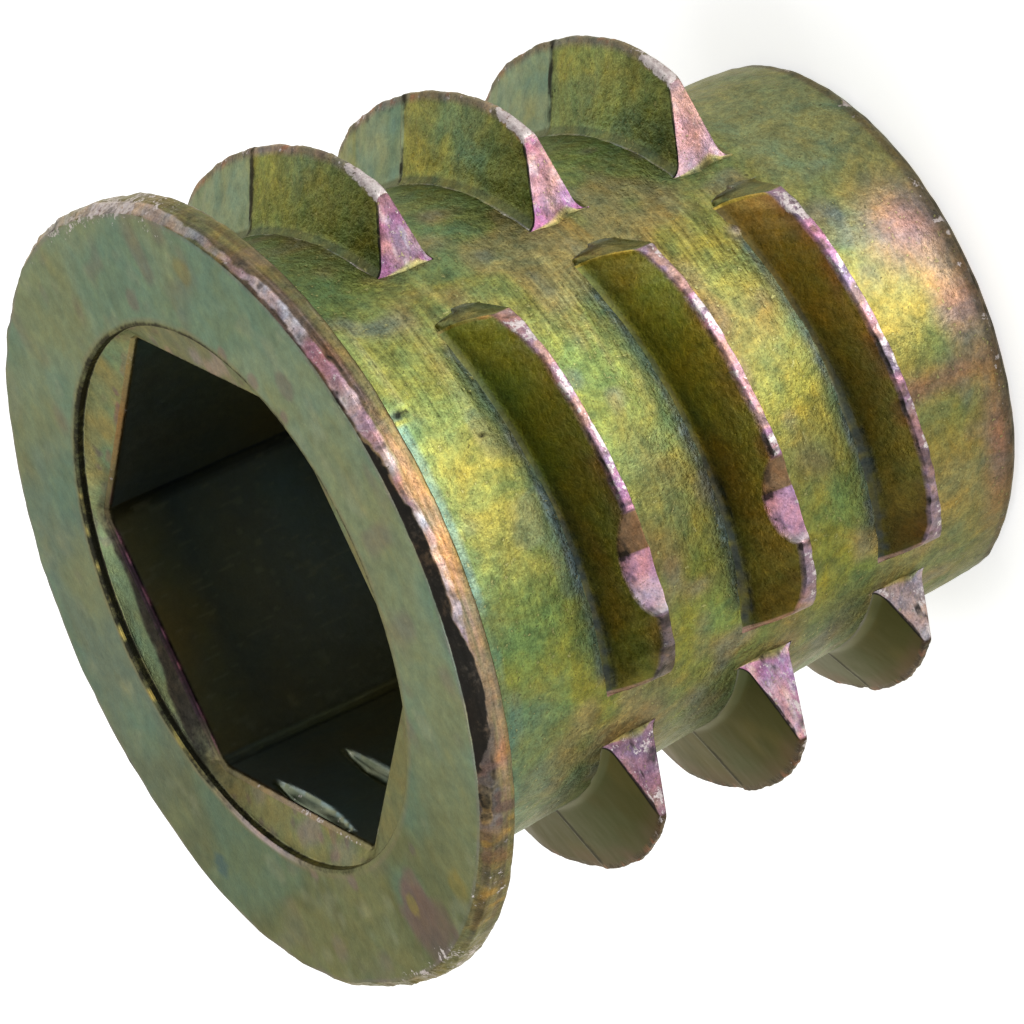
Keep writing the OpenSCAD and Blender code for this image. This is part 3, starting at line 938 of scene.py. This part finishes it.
        # dark burr line between flank and end
        lip = (kind <= FLANK) & (t <= 0.05) & (np.abs(s) > 0.985)
        dark = np.where(lip, (0.75 if low_side else 0.62) + 0.2 * wob, dark)
        grain = np.where(face, 0.9, grain)
    else:
        arch = paint(
            plain(rise, 185, 175, 60),
            ((120, 145, 60), smooth(-0.2, 0.5, wob)),
            # painted shade in a band low on the end face
            ((85, 95, 55), bump(t, 0.74, 0.12) * 0.7),
            ((290, 330, 290), smooth(0.80, 0.90, t) * (0.7 + 0.3 * wob)),
        )
        gold = (s < -0.984) & (kind <= FLANK) & (t <= 0.02)
        hem = (s > 0.984) & (kind <= FLANK) & (t < 0.2)
        flash = 0.35 + 0.6 * smooth(-0.25, 0.25, fine + 0.5 * wob)
        tint = paint(
            tint,
            (arch, face & (s < 0)),
            ((270, 160, 120), face & (s > 0)),
            ((500, 270, 90) if k == 0 else (550, 420, 80), gold * flash),
            ((340, 200, 150), hem * (0.7 + 0.3 * wob)),
        )
        dark = np.where(gold, 0, np.where(hem, 0.1, dark))
    dark = np.where((t >= 0.97) & (t < 0.999), 0.35 if side else 0.0, dark)

    # gate scars: brown above, pink below with a painted highlight towards the lower end, a dark
    # rim
    scar = (bell > 0.0) & crest
    inside = scar * smooth(0.0, 0.10, bell)
    tint = paint(
        tint,
        ((260, 230, 90) if side else (230, 260, 200), (t >= 0.94) * 0.8),
        ((230, 135, 70), inside * (u < -0.25)),
        ((500, 270, 370), inside * (u >= -0.25)),
        # painted highlight, growing towards the scar's lower end
        ((660, 480, 530), inside * smooth(-0.1, 0.8, u) * smooth(-0.3, 0.4, wob)),
        ((620, 550, 560), inside * smooth(0.70, 0.95, u) * 0.8),
    )
    wear = np.where(scar, np.where(u < -0.25, 0.0, 0.12), wear)
    rim = 0.38 * bump(u, -0.25, 0.10) * (kind <= CREST) + 0.45 * bump(np.abs(u), 1.0, 0.05)
    dark = np.where(scar, rim + 0.32 * ((kind == NEAR_EDGE) & (bell > 0.1)), dark)
    if k == 0:
        after = crest & (u > 1.0)
        tint = paint(tint, ((110, 85, 78), after * (0.8 + 0.3 * wob)))
        wear = np.where(after, 0.10 + 0.15 * fine, wear)
        dark = np.where(after, 0.42 * smooth(0.0, 0.4, fine + 0.5 * wob), dark)
    elif k == 4:
        dark = dark + crest * (0.55 * bump(u, -1.12, 0.07) + 0.6 * bump(u, 1.08, 0.08))
    return tint, wear, dark, grain


def thread_piece():
    """All blocks of the interrupted thread."""
    faces, stores = [], [[] for _ in range(5)]
    base = 0
    for k in range(FIRST, LAST + 1):
        P, facts = block_grid(k)
        faces.append(grid_faces(*P.shape[:2], base=base))
        base += P[..., 0].size
        for store, values in zip(stores, (P, *block_paint(k, P, *facts))):
            store.append(values.reshape(-1, *values.shape[2:]))
    points, tint, wear, dark, grain = (np.concatenate(store) for store in stores)
    return make_mesh("thread_blocks", points, np.concatenate(faces), tint, wear, dark, grain,
                     points * np.array((1.0, 0.2, 0.4)), np.zeros(len(points)))


# ---------------------------------------------------------------- socket and hole
FILLET = 0.09                   # rounding of the hexagon's upper edge
LIP_H = 0.15                    # height of the recess's wall, from where the ledge slopes down
WALL_ROWS = 96
LEDGE_STEPS = (0.03, 0.08, 0.16, 0.25, 0.35, 0.45, 0.55, 0.65, 0.75, 0.85, 0.93, 1.0)
# the flat that faces the light: depths, and red, green and blue at them
FLAT_DEPTHS = (0.5, 0.95, 1.5, 3.4, 6.0)
FLAT_RGB = ((0.19, 0.13, 0.080, 0.140, 0.125), (0.175, 0.14, 0.108, 0.165, 0.145),
            (0.100, 0.10, 0.130, 0.195, 0.160))


def all_round(n):
    return np.arange(n) * 360.0 / n


def socket_rings(off, mouth):
    """Recess wall, ledge, rounded edge, hexagon, floor and bevel, from the top down.

    Each is the radii all round, off degrees from the middle of a flat, and a height.
    """
    def hexagon(apothem):
        return np.minimum(apothem / cosd(off), apothem / cosd(30) - 0.04)

    def edge_at(extra):
        return np.minimum(hexagon(APOTHEM + extra), RECESS_R - 0.16)

    full, edge = np.ones_like(off), edge_at(FILLET)
    rings = [(RECESS_R * full, H - 0.045)]
    rings += [((RECESS_R - 0.004) * full, H - drop) for drop in (0.08, 0.105, 0.13, LIP_H)]
    outer, slope = RECESS_R - 0.012, RECESS_DEPTH - LIP_H
    rings += [(outer * (1 - t) + edge * t, H - LIP_H - slope * t ** 0.8) for t in LEDGE_STEPS]
    rings += [(edge_at(FILLET * (1 - sind(a))), H - RECESS_DEPTH - FILLET * (1 - cosd(a)))
              for a in (18, 36, 54, 72, 90)]
    rings += [(hexagon(APOTHEM), mouth + (SOCKET_FLOOR - mouth) * i / WALL_ROWS)
              for i in range(1, WALL_ROWS + 1)]
    rings += [(hexagon(APOTHEM) * (1 - t) + (BORE_R + BEVEL) * t, SOCKET_FLOOR)
              for t in (0.25, 0.5, 0.75, 1.0)]
    rings.append((BORE_R * full, SOCKET_FLOOR - BEVEL))
    return rings, edge[:, None]


def tap_marks(R, A, Z):
    """Grooves that an off-centre tap cut into one flat, and the height from their middle."""
    rel = np.radians((A - TAP_AZ + 180) % 360 - 180)
    along, across = R * np.sin(rel) - TAP_SHIFT[0], R * np.cos(rel) - TAP_SHIFT[1]
    rho, psi = np.hypot(along, across), np.arctan2(along, across)
    tooth_z = TAP_Z + TAP_PITCH * psi / (2 * math.pi)
    off_z = (Z - tooth_z + TAP_PITCH / 2) % TAP_PITCH - TAP_PITCH / 2
    depth = (TAP_R - rho) - np.abs(off_z) / math.tan(TAP_FLANK)
    return np.clip(depth, 0, 0.2) * (np.abs(rel) < math.radians(28)), off_z


def socket_piece():
    """Recess wall, ledge, hex walls with tap marks on one flat, and the floor."""
    az = all_round(720)
    off = az - SOCKET_TURN - 30
    off = off - 60 * np.round(off / 60)
    mouth = H - RECESS_DEPTH - FILLET
    rings, edge = socket_rings(off, mouth)
    R = np.stack([r for r, _ in rings], 1)
    Z = np.array([z for _, z in rings]) + 0 * R
    A = az[:, None] + 0 * R
    row = np.arange(R.shape[1]) + 0 * R
    wall = (Z < mouth - 0.001) & (Z > SOCKET_FLOOR + 0.01)
    recess_wall, ledge = row < 5, (row >= 5) & (row <= 16)
    groove, off_z = tap_marks(R, A, Z)
    groove = groove * wall
    R = R + groove
    P = polar(R, A, Z)
    uneven = 0.008 * noise(P, 0.9, 41) + 0.005 * noise(P, 0.25, 42)
    P[..., 2] += np.where(ledge, uneven * 0.8, 0)
    P = P + polar(np.ones_like(R), A, 0) * np.where(wall, uneven, 0)[..., None]
    wob, wob2, fine = noises(P, (0.5, 43), (1.5, 44), (0.2, 45))

    # mouth: the hexagon's corners are A, at th -92, to F, against the clock
    th = theta_of(A)
    turn = (th + 360) % 360
    ab, cd, fa = (bump(th, middle, 24) for middle in (-121, 118, -62))
    bc, de = bump(turn, 180, 26), bump(th, 58, 26)
    # a dark band along the rounded edge and the ledge at the back of the mouth
    back_edge_dark = np.clip(bump(turn, 180, 30) * 1.6, 0, 1)
    rounded = (Z < H - RECESS_DEPTH - 0.003) & (Z > mouth - 0.04)
    near_hex = ledge & (R < edge + 0.10)
    wide = 0.06 + 0.32 * smooth(206, 160, turn)
    beside = ledge * smooth(wide + 0.10, wide - 0.02, R - edge + 0.07 * wob + 0.04 * fine)
    left = fa * (ledge | rounded)
    tint = paint(
        plain(R, 205, 205, 90),
        ((150, 220, 115), ledge * smooth(-0.1, 0.5, wob) * 0.7),
        ((250, 195, 65), ledge * smooth(0.1, 0.6, -wob) * 0.6),
        ((150, 100, 95), ledge * smooth(0.3, 0.6, fine) * 0.6),
        ((260, 260, 130), recess_wall),
        ((155, 155, 62), ledge * de),
        # painted highlight on the rounded edge along side AB
        ((215, 120, 45), rounded * ab * 0.9),
        ((190, 110, 85), near_hex * ab * smooth(-0.2, 0.4, fine + wob) * 0.8),
        ((330, 220, 160), rounded * cd * 0.7),
        ((140, 188, 105), ledge * bc * 0.8),
        ((270, 175, 160), ledge * cd * smooth(0.0, 0.5, wob) * 0.6),
        ((45, 36, 30), beside * back_edge_dark * 0.95),
        ((30, 17, 22), rounded * back_edge_dark),
        ((190, 75, 100), (rounded & (row >= 20)) * back_edge_dark * smooth(-0.1, 0.4, fine) * 0.85),
        ((165, 160, 85), left * 0.85),
        ((330, 240, 200), left * smooth(0.0, 0.5, noise(P, 0.3, 46)) * 0.7),
    )
    # painted shade on the recess wall, left out where it faces the light
    dark = np.where(recess_wall, (0.66 + 0.10 * wob) * (1 - bump(th, 58, 52)), 0)
    dark = dark + (0.45 * beside + 0.4 * (rounded & (row <= 19))) * back_edge_dark
    wear = 0.10 + 0.12 * ab + 0.30 * cd - 0.10 * bc
    wear = rounded * wear * (0.8 + 0.7 * wob) * (1 - back_edge_dark)

    # walls and floor
    inner = Z < mouth - 0.03
    shaft = paint(plain(R, 205, 250, 238), ((345, 305, 143), smooth(H - 1.0, H - 6.0, Z)))
    # painted light: the flat round th 119 is half as bright again
    shaft = shaft * np.where(np.abs(th - 119) < 30.5, 1.5, 1.0)[..., None]
    # the flat that faces the light is brown at its mouth and blue-black deeper down
    flat = np.stack([np.interp(H - Z, FLAT_DEPTHS, c) for c in FLAT_RGB], -1)
    flat = paint(flat, ((170, 160, 95), smooth(176, 150, turn) * 0.5))
    shaft = paint(shaft, (flat, (np.abs(turn - 180) < 30.5) & (Z > SOCKET_FLOOR + 0.01)))
    cool, warm = np.array((-0.10, 0.08, 0.15)), np.array((0.16, 0.02, -0.15))
    cast = cool * smooth(-0.1, 0.6, wob2)[..., None] + warm * smooth(0.1, 0.7, -wob2)[..., None]
    # painted shade down the hexagon's corners
    corner_shade = 0.6 * smooth(27.8, 29.2, np.abs(off))[:, None, None]
    shaft = shaft * (1 + cast) * (1 - corner_shade)
    scratch = smooth(0.55, 0.75, noise(np.stack([A * 0.5, Z * 2.2, 0 * Z], -1), 0.5, 47))
    lit, hollow = smooth(0.002, 0.008, groove), smooth(0.035, 0.075, groove)
    cut = paint(plain(R, 290, 310, 205), ((170, 200, 130), smooth(-0.2, 0.6, fine)))
    tint = paint(
        tint,
        (shaft, inner),
        ((320, 340, 280), inner * scratch * 0.18),
        (cut, lit),
        ((85, 110, 80), hollow * (0.55 + 0.35 * np.sin(off_z * 90))),
    )
    wear = np.where(lit > 0.5, 0.12 + 0.12 * fine, wear)
    cyl = np.stack([np.radians(th) * SOCKET_MEAN_R, Z, R], -1)
    return make_mesh("hex_socket", P, grid_faces(*R.shape, wrap_u=True, flip=True),
                     tint, wear, dark, np.where(wall, 0.12, 0.35), cyl, 0 * R)


def bore_piece():
    """The tapped hole's helical grooves, with the bevel at the tip."""
    end = SOCKET_FLOOR - BEVEL
    z = np.concatenate([np.linspace(0.0, BEVEL, 5)[:-1], np.linspace(BEVEL, end, 150)])
    A, Z = np.meshgrid(all_round(200), z, indexing="ij")
    v = 1 - np.abs(2 * ((Z - TAP_PITCH * A / 360) / TAP_PITCH % 1.0) - 1)
    fade = between(BEVEL, BEVEL + 0.3, end - 0.3, end, Z)
    depth = THREAD_DEPTH * np.clip((v - 0.14) / 0.74, 0, 1) * fade
    R = BORE_R + depth + np.maximum(0, BEVEL - Z)
    P = polar(R, A, Z)
    tint = paint(
        plain(R, 170, 170, 75),
        ((280, 240, 140), (depth < 0.04) * (0.6 + 0.3 * noise(P, 0.4, 51))),
        ((100, 130, 80), smooth(0, 0.6, noise(P, 1.0, 52)) * 0.6),
    )
    cyl = np.stack([np.radians(A) * HOLE_MEAN_R, Z, R], -1)
    # painted shade: darker the deeper the groove
    return make_mesh("tapped_hole", P, grid_faces(*R.shape, wrap_u=True),
                     tint, 0.12 + 0 * R, 0.25 * depth, 0.2 + 0 * R, cyl, 0 * R)


# ---------------------------------------------------------------- material
WHITE = (1, 1, 1, 1)


class Nodes:
    """Short calls for building a node tree."""

    def __init__(self, owner):
        owner.use_nodes = True
        self.tree = owner.node_tree
        self.tree.nodes.clear()

    def new(self, kind, **props):
        node = self.tree.nodes.new("ShaderNode" + kind)
        for key, value in props.items():
            setattr(node, key, value)
        return node

    def put(self, sock, value):
        """Give a socket another node's output, or a plain value."""
        if hasattr(value, "links"):
            self.tree.links.new(value, sock)
        else:
            sock.default_value = value

    def fill(self, node, **values):
        """Fill the inputs of a node by their names, spaces written as underscores."""
        for key, value in values.items():
            self.put(node.inputs[key.replace("_", " ")], value)
        return node

    def math(self, op, *values):
        node = self.new("Math", operation=op)
        for sock, value in zip(node.inputs, values):
            self.put(sock, value)
        return node.outputs[0]

    def add(self, a, b):
        return self.math("ADD", a, b)

    def times(self, a, b):
        return self.math("MULTIPLY", a, b)

    def times_add(self, a, b, c):
        return self.math("MULTIPLY_ADD", a, b, c)

    def mix(self, fac, a, b, blend="MIX"):
        node = self.new("Mix", data_type="RGBA", blend_type=blend)
        for i, value in ((0, fac), (6, a), (7, b)):
            self.put(node.inputs[i], value)
        return node.outputs[2]

    def noise(self, vector, scale, detail, rough, distort=0.0):
        node = self.new("TexNoise")
        return self.fill(node, Vector=vector, Scale=scale, Detail=detail,
                         Roughness=rough, Distortion=distort).outputs[0]

    def span(self, x, lo, hi, a=0.0, b=1.0):
        """Takes x from the range lo, hi to the range a, b, and no further."""
        node = self.new("MapRange", clamp=True)
        for sock, value in zip(node.inputs, (x, lo, hi, a, b)):
            self.put(sock, value)
        return node.outputs[0]

    def seen(self):
        """1 for rays from the camera, off metal or through glass, and 1 for the first only."""
        rays = self.new("LightPath").outputs
        both = self.math("MAXIMUM", rays["Is Camera Ray"], rays["Is Glossy Ray"])
        return self.math("MAXIMUM", both, rays["Is Transmission Ray"]), rays["Is Camera Ray"]


def plating_material():
    """Thin yellow passivated plating over zinc: tint from the points, wear down to bare metal."""
    mat = bpy.data.materials.new("yellow_plating")
    N = Nodes(mat)
    out = N.new("OutputMaterial")
    bsdf = N.new("BsdfPrincipled")
    N.put(out.inputs[0], bsdf.outputs[0])
    coords = N.new("TexCoord")
    scaled = N.new("Mapping")
    N.fill(scaled, Scale=(1 / MM,) * 3, Vector=coords.outputs["Object"])
    v = scaled.outputs[0]
    cyl = N.new("Attribute", attribute_name="cyl")
    round_body = N.new("Mapping")
    N.fill(round_body, Scale=(0.7, 9.0, 4.0), Vector=cyl.outputs["Vector"])
    streak = N.noise(round_body.outputs[0], 1.5, 3.0, 0.6)
    tint = N.new("Attribute", attribute_name="tint").outputs["Color"]
    packed = N.new("Attribute", attribute_name="marks")
    marks = N.new("SeparateColor")
    N.put(marks.inputs[0], packed.outputs["Color"])
    wear, dark, grain = marks.outputs
    brushed = packed.outputs["Alpha"]

    cloud = N.noise(v, 1.1, 5.0, 0.62, 0.5)
    patch = N.noise(v, 3.6, 4.0, 0.62, 0.3)
    small = N.noise(v, 10.0, 4.0, 0.65)
    tiny = N.noise(v, 30.0, 2.0, 0.6)
    blotch = N.span(grain, 0.0, 0.6, 0.08, 1.0)

    # clouds and patches of other colour
    col = tint
    for source, lo, hi, amount, rgb in (
        (cloud, 0.50, 0.66, 0.75, (0.80, 1.02, 1.25)),
        (cloud, 0.50, 0.34, 0.75, (1.22, 0.98, 0.72)),
        (patch, 0.50, 0.66, 0.9, (0.66, 0.72, 0.80)),
        (patch, 0.47, 0.32, 0.9, (1.30, 1.22, 1.05)),
    ):
        fac = N.times(N.span(source, lo, hi, 0, amount), blotch)
        col = N.mix(fac, col, (*rgb, 1), "MULTIPLY")
    value = N.times_add(N.span(small, 0.3, 0.7, -0.42, 0.42), grain, 1.0)
    value = N.times_add(N.span(tiny, 0.3, 0.7, -0.22, 0.22), blotch, value)
    value = N.add(value, N.times(N.span(streak, 0.3, 0.7, -0.60, 0.60), brushed))
    col = N.fill(N.new("HueSaturation"), Color=col, Value=value).outputs[0]

    # bare metal where it is worn, with a ragged border
    jag = N.add(N.span(patch, 0.3, 0.7, -0.30, 0.30), N.span(small, 0.3, 0.7, -0.28, 0.28))
    jag = N.add(jag, N.span(tiny, 0.3, 0.7, -0.12, 0.12))
    worn = N.times(N.span(N.add(wear, jag), 0.42, 0.58), N.span(wear, 0.02, 0.10))
    bare = N.mix(N.span(small, 0.35, 0.65), (0.36, 0.29, 0.29, 1), (0.68, 0.62, 0.60, 1))
    col = N.mix(N.times(worn, 0.9), col, bare)
    speck = N.times(N.span(small, 0.62, 0.70, 0.0, 0.75), N.span(grain, 0.3, 0.6))
    col = N.mix(speck, col, (0.045, 0.042, 0.018, 1))
    glint = N.times(N.span(small, 0.38, 0.31, 0.0, 0.55), N.span(grain, 0.75, 0.95))
    col = N.mix(glint, col, (0.42, 0.40, 0.16, 1))

    # grime, and painted shade and dark reflection, from the dark marks
    shade = N.span(N.add(dark, N.times(jag, 0.55)), 0.18, 0.62)
    shade = N.times(shade, N.span(dark, 0.0, 0.08))
    col = N.mix(N.times(shade, 0.93), col, (0.016, 0.015, 0.013, 1))
    N.fill(bsdf, Base_Color=col, Metallic=1.0, Specular_Tint=(0.78, 0.74, 0.62, 1))

    rough = N.add(N.span(patch, 0.3, 0.7, -0.06, 0.06), N.span(small, 0.3, 0.7, -0.07, 0.07))
    rough = N.times_add(rough, blotch, 0.35)
    rough = N.add(rough, N.times(shade, 0.12))
    N.fill(bsdf, Roughness=rough)
    coarse = N.new("Bump")
    N.fill(coarse, Distance=0.022 * MM, Strength=N.times_add(grain, 0.96, 0.04))
    height = N.times_add(N.times(streak, brushed), 0.9, small)
    N.fill(coarse, Height=N.times_add(patch, 0.9, height))
    finest = N.new("Bump")
    N.fill(finest, Distance=0.005 * MM, Strength=N.times_add(grain, 0.65, 0.08), Height=tiny,
           Normal=coarse.outputs[0])
    N.fill(bsdf, Normal=finest.outputs[0])
    return mat


plating = plating_material()
for piece in (flange_piece(), barrel_piece(), thread_piece(), socket_piece(), bore_piece()):
    piece.data.materials.append(plating)
    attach(piece, "root")
    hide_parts("threaded_insert")


# ---------------------------------------------------------------- stage
FLOOR_GREY = 0.8
FLOOR_GLOW = 0.70
FLOOR_HALF = 3.0                # in metres
FLOOR_GAP = 0.02 * MM           # keeps the floor clear of the tip face
WORLD_LIGHT = 0.45
# low strips of light on the floor in front, narrower towards the foot: x, y, width,
# depth in mm, and radiance
STRIPS = (
    (0.9, -6.7, 3.4, 2.8, 2.0),
    (1.7, -10.1, 7.0, 4.0, 2.4),
    (2.9, -14.6, 11.5, 5.0, 2.5),
    (4.4, -21.6, 17.0, 9.0, 2.9),
    (-8.0, -23.0, 7.4, 8.0, 1.7),
    (13.6, -12.6, 6.0, 7.0, 1.0),
)
STRIP_H = 0.3 * MM
# the lamp above: place, what it shines towards, width, depth in metres, and radiance
OVERHEAD = ((-0.05, 0.02, 0.30), (0, 0, 0.006), 0.30, 0.24, 1.6)


def floor_piece():
    """A plain floor that camera and metal see as white, and that keeps the shadow."""
    mat = bpy.data.materials.new("floor_white")
    N = Nodes(mat)
    out = N.new("OutputMaterial")
    grey = N.new("BsdfDiffuse")
    N.fill(grey, Color=(FLOOR_GREY, FLOOR_GREY, FLOOR_GREY, 1))
    glow = N.new("Emission")
    N.fill(glow, Strength=N.times(N.seen()[0], FLOOR_GLOW))
    both = N.new("AddShader")
    N.put(both.inputs[0], grey.outputs[0])
    N.put(both.inputs[1], glow.outputs[0])
    N.put(out.inputs[0], both.outputs[0])
    mesh = bpy.data.meshes.new("floor")
    s = FLOOR_HALF
    mesh.from_pydata([(-s, -s, 0), (s, -s, 0), (s, s, 0), (-s, s, 0)], [], [(0, 1, 2, 3)])
    obj = bpy.data.objects.new("floor", mesh)
    bpy.context.scene.collection.objects.link(obj)
    mesh.materials.append(mat)
    obj.location = (0, 0, -FLOOR_GAP)


def studio_world():
    """Even grey light, and white wherever the camera or metal looks."""
    world = bpy.data.worlds.new("studio")
    bpy.context.scene.world = world
    N = Nodes(world)
    out = N.new("OutputWorld")
    lit = N.new("Background")
    shown = N.new("Background")
    mixed = N.new("MixShader")
    seen, camera_ray = N.seen()
    coords = N.new("TexCoord")
    axes = N.new("SeparateXYZ")
    N.put(axes.inputs[0], coords.outputs["Generated"])
    high = N.span(axes.outputs[2], 0.62, 0.95, 1.0, 0.35)
    N.fill(shown, Color=WHITE, Strength=N.math("MAXIMUM", high, camera_ray))
    N.fill(lit, Color=WHITE, Strength=WORLD_LIGHT)
    for sock, value in zip(mixed.inputs, (seen, lit.outputs[0], shown.outputs[0])):
        N.put(sock, value)
    N.put(out.inputs[0], mixed.outputs[0])


def area(name, loc, target, size_x, size_y, radiance):
    """A rectangular lamp at loc that shines towards target and that the camera can't see."""
    lamp = bpy.data.lights.new(name, "AREA")
    lamp.shape = "RECTANGLE"
    lamp.size = size_x
    lamp.size_y = size_y
    lamp.energy = radiance * math.pi * size_x * size_y
    obj = bpy.data.objects.new(name, lamp)
    bpy.context.scene.collection.objects.link(obj)
    obj.location = loc
    direction = Vector(target) - Vector(loc)
    obj.rotation_euler = direction.to_track_quat("-Z", "Y").to_euler()
    obj.visible_camera = False


floor_piece()
studio_world()
area("overhead", *OVERHEAD)
for i, (x, y, width, depth, radiance) in enumerate(STRIPS):
    area("low_strip_%d" % i, (x * MM, y * MM, STRIP_H), (x * MM, y * MM, 0.05),
         width * MM, depth * MM, radiance)

# ---------------------------------------------------------------- camera
SENSOR = 36
FOCAL_PX = 9000.0               # focal length in pixels of the picture, which has PICTURE_PX
PICTURE_PX = 1024.0
VIEW = (
    (-0.4114799, 0.9114115, 0.0036628, 0.0000000),
    (-0.4104039, -0.1816960, -0.8936192, -0.1353286),
    (-0.8137892, -0.3692096, 0.4488111, 0.0753587),
    (0.0000000, 0.0000000, 0.0000000, 1.0000000),
)

scene = bpy.context.scene
scene.view_settings.view_transform = "Standard"
cam_data = bpy.data.cameras.new("camera")
cam = bpy.data.objects.new("camera", cam_data)
scene.collection.objects.link(cam)
cam_data.sensor_width = SENSOR
cam_data.lens = FOCAL_PX / PICTURE_PX * SENSOR
cam_data.clip_start = 0.01
cam_data.clip_end = 10
cam.matrix_world = Matrix(VIEW)
scene.camera = cam
